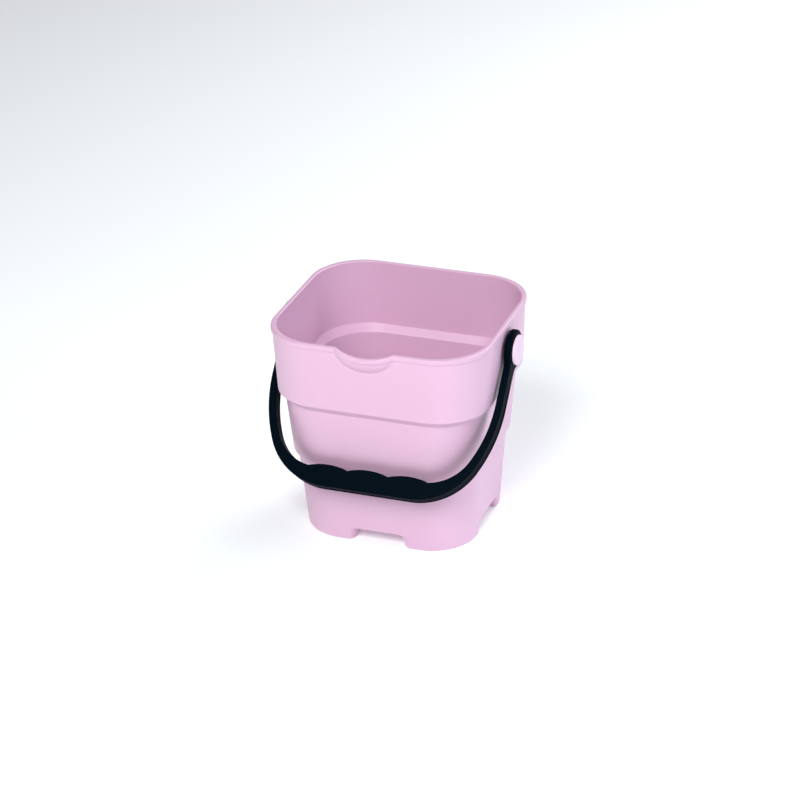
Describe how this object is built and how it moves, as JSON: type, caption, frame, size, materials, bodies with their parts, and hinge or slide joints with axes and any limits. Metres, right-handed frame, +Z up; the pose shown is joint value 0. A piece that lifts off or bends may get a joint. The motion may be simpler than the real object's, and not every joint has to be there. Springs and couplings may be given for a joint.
{
  "type": "sand bucket",
  "caption": "Rounded-square sand bucket in stepped tiers on castle feet, with a small pouring lip and a bail handle that swings on side bosses.",
  "frame": {"origin": "on the ground at the centre of the four feet, which is the centre of the bucket in plan", "axes": "+Z up, -Y towards the side with the pouring lip, X along the bail's pivot axis with +X to the right seen from the lip side"},
  "size_m": [0.1794, 0.1552, 0.159],
  "materials": {
    "shell_plastic": "satin moulded polypropylene, pale pink, through-coloured",
    "bail_plastic": "satin moulded polypropylene, near black",
    "button_plastic": "satin moulded polypropylene, pale pink"
  },
  "bodies": {
    "bucket": {"bucket_shell": "shell_plastic", "pivot_button_right": "button_plastic", "pivot_button_left": "button_plastic"},
    "bail": {"bail_handle": "bail_plastic"}
  },
  "joints": [
    {"name": "bail_swing", "type": "hinge", "parent": "bucket", "child": "bail", "pos_m": [0, 0, 0.139], "axis": [-1, 0, 0], "range_deg": [0, 277]}
  ]
}
